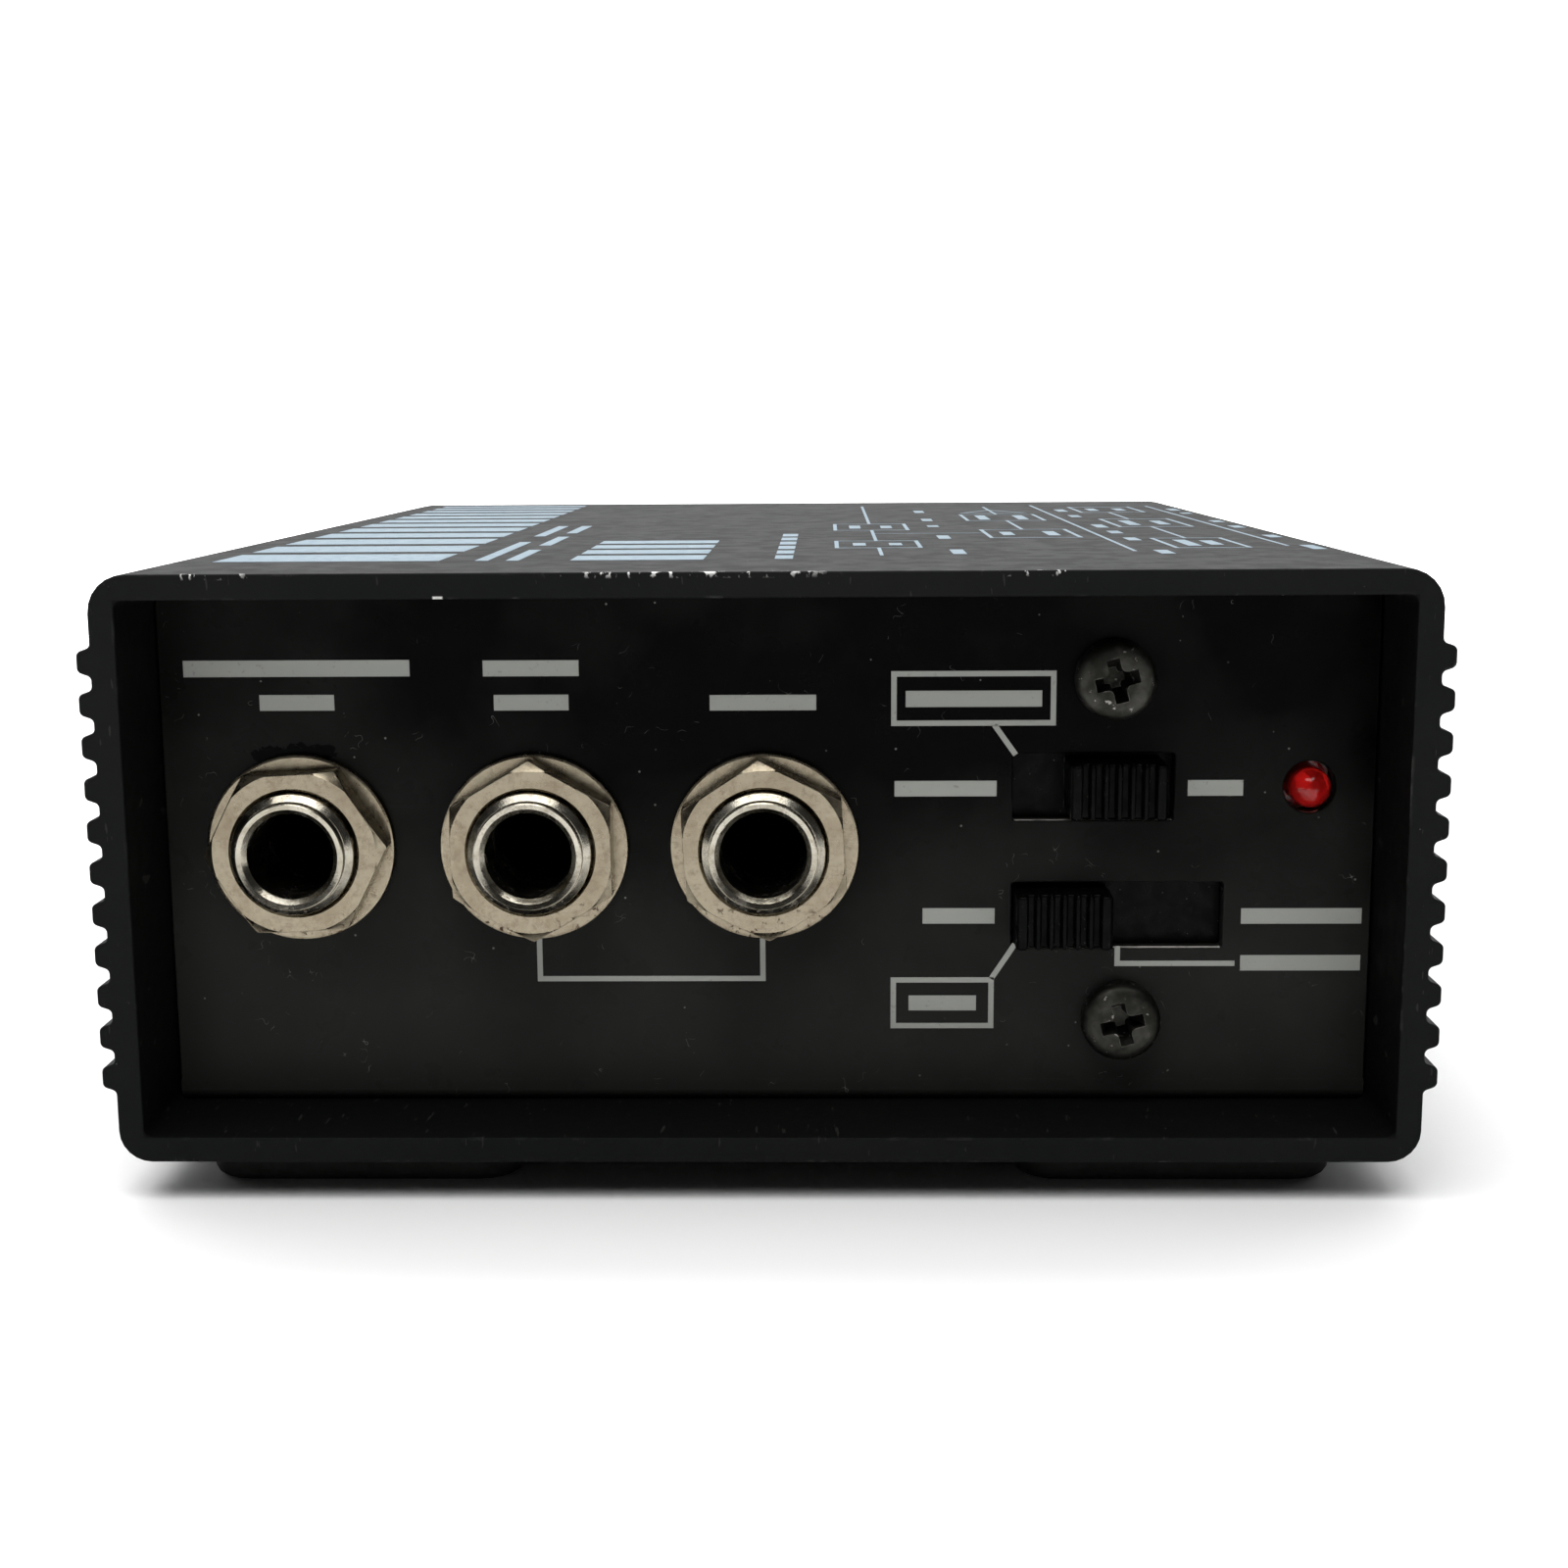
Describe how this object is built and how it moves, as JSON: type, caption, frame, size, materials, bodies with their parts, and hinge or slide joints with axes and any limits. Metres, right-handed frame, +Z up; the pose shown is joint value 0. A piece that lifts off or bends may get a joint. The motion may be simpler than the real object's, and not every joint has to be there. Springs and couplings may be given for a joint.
{
  "type": "direct injection box",
  "caption": "Ribbed metal sleeve on rubber feet with recessed panels: phone jacks, slide switches and a lamp in front, a three-pin output and ground lift behind.",
  "frame": {"origin": "on the floor, midway between the sides and midway between the front and rear rims", "axes": "+Z up, -Y out of the front panel with the jacks, +X to the right seen from the front"},
  "size_m": [0.099, 0.122, 0.047],
  "materials": {
    "sleeve_paint": "satin",
    "panel_paint": "matte",
    "rubber": "matte",
    "black_screw": "satin",
    "nickel": "satin",
    "zinc": "satin",
    "black_plastic": "matte",
    "contact_bronze": "satin",
    "red_lens": "gloss",
    "nylon": "satin",
    "circuit_board": "satin",
    "laminations": "matte",
    "winding_tape": "matte",
    "capacitor_sleeve": "satin",
    "battery_can": "satin",
    "spring_steel": "satin",
    "gold_pin": "satin"
  },
  "bodies": {
    "enclosure": {"amplifier_chip": "black_plastic", "attenuator_switch_housing": "black_plastic", "battery": "battery_can", "battery_bracket": "spring_steel", "battery_snap": "black_plastic", "board_post_left": "nylon", "board_post_right": "nylon", "case_sleeve": "sleeve_paint", "coupling_capacitor": "capacitor_sleeve", "foot_front_left": "rubber", "foot_front_right": "rubber", "foot_rear_left": "rubber", "foot_rear_right": "rubber", "foot_screw_front_left": "zinc", "foot_screw_front_right": "zinc", "foot_screw_rear_left": "zinc", "foot_screw_rear_right": "zinc", "front_panel": "panel_paint", "ground_lift_switch_housing": "black_plastic", "input_jack_body": "black_plastic", "input_jack_bushing": "nickel", "input_jack_nut": "nickel", "input_jack_washer": "nickel", "main_board": "circuit_board", "output_connector_insert": "black_plastic", "output_connector_pin_1": "gold_pin", "output_connector_pin_2": "gold_pin", "output_connector_pin_3": "gold_pin", "output_connector_screw_1": "black_screw", "output_connector_screw_2": "black_screw", "output_connector_shell": "nickel", "output_transformer_coil": "winding_tape", "output_transformer_core": "laminations", "panel_screw_lower": "black_screw", "panel_screw_upper": "black_screw", "parallel_out_jack_body": "black_plastic", "parallel_out_jack_bushing": "nickel", "parallel_out_jack_nut": "nickel", "parallel_out_jack_washer": "nickel", "power_lamp": "red_lens", "power_lamp_spacer": "nylon", "power_switch_housing": "black_plastic", "rear_panel": "panel_paint", "supply_capacitor": "capacitor_sleeve", "switch_board": "circuit_board", "switch_board_nut_lower": "zinc", "switch_board_nut_upper": "zinc", "switch_board_standoff_lower": "zinc", "switch_board_standoff_upper": "zinc", "unbalanced_out_jack_body": "black_plastic", "unbalanced_out_jack_bushing": "nickel", "unbalanced_out_jack_nut": "nickel", "unbalanced_out_jack_washer": "nickel"},
    "attenuator_switch_slider_body": {"attenuator_switch_slider": "black_plastic"},
    "ground_lift_switch_slider_body": {"ground_lift_switch_slider": "black_plastic"},
    "input_jack_contact_body": {"input_jack_contact": "contact_bronze"},
    "parallel_out_jack_contact_body": {"parallel_out_jack_contact": "contact_bronze"},
    "power_switch_slider_body": {"power_switch_slider": "black_plastic"},
    "unbalanced_out_jack_contact_body": {"unbalanced_out_jack_contact": "contact_bronze"}
  },
  "joints": [
    {"name": "power_switch_slide", "type": "slide", "parent": "enclosure", "child": "power_switch_slider_body", "axis": [1, 0, 0], "range_m": [-0.004, 0]},
    {"name": "attenuator_switch_slide", "type": "slide", "parent": "enclosure", "child": "attenuator_switch_slider_body", "axis": [1, 0, 0], "range_m": [0, 0.008]},
    {"name": "ground_lift_switch_slide", "type": "slide", "parent": "enclosure", "child": "ground_lift_switch_slider_body", "axis": [1, 0, 0], "range_m": [-0.004, 0]},
    {"name": "unbalanced_out_contact_lift", "type": "hinge", "parent": "enclosure", "child": "unbalanced_out_jack_contact_body", "pos_m": [-0.0359, -0.0445, 0.03165], "axis": [1, 0, 0], "range_deg": [0, 4], "stiffness_Nm_per_rad": 0.6},
    {"name": "parallel_out_contact_lift", "type": "hinge", "parent": "enclosure", "child": "parallel_out_jack_contact_body", "pos_m": [-0.0179, -0.0445, 0.03165], "axis": [1, 0, 0], "range_deg": [0, 4], "stiffness_Nm_per_rad": 0.6},
    {"name": "input_contact_lift", "type": "hinge", "parent": "enclosure", "child": "input_jack_contact_body", "pos_m": [-0.0002, -0.0445, 0.03165], "axis": [1, 0, 0], "range_deg": [0, 4], "stiffness_Nm_per_rad": 0.6}
  ]
}
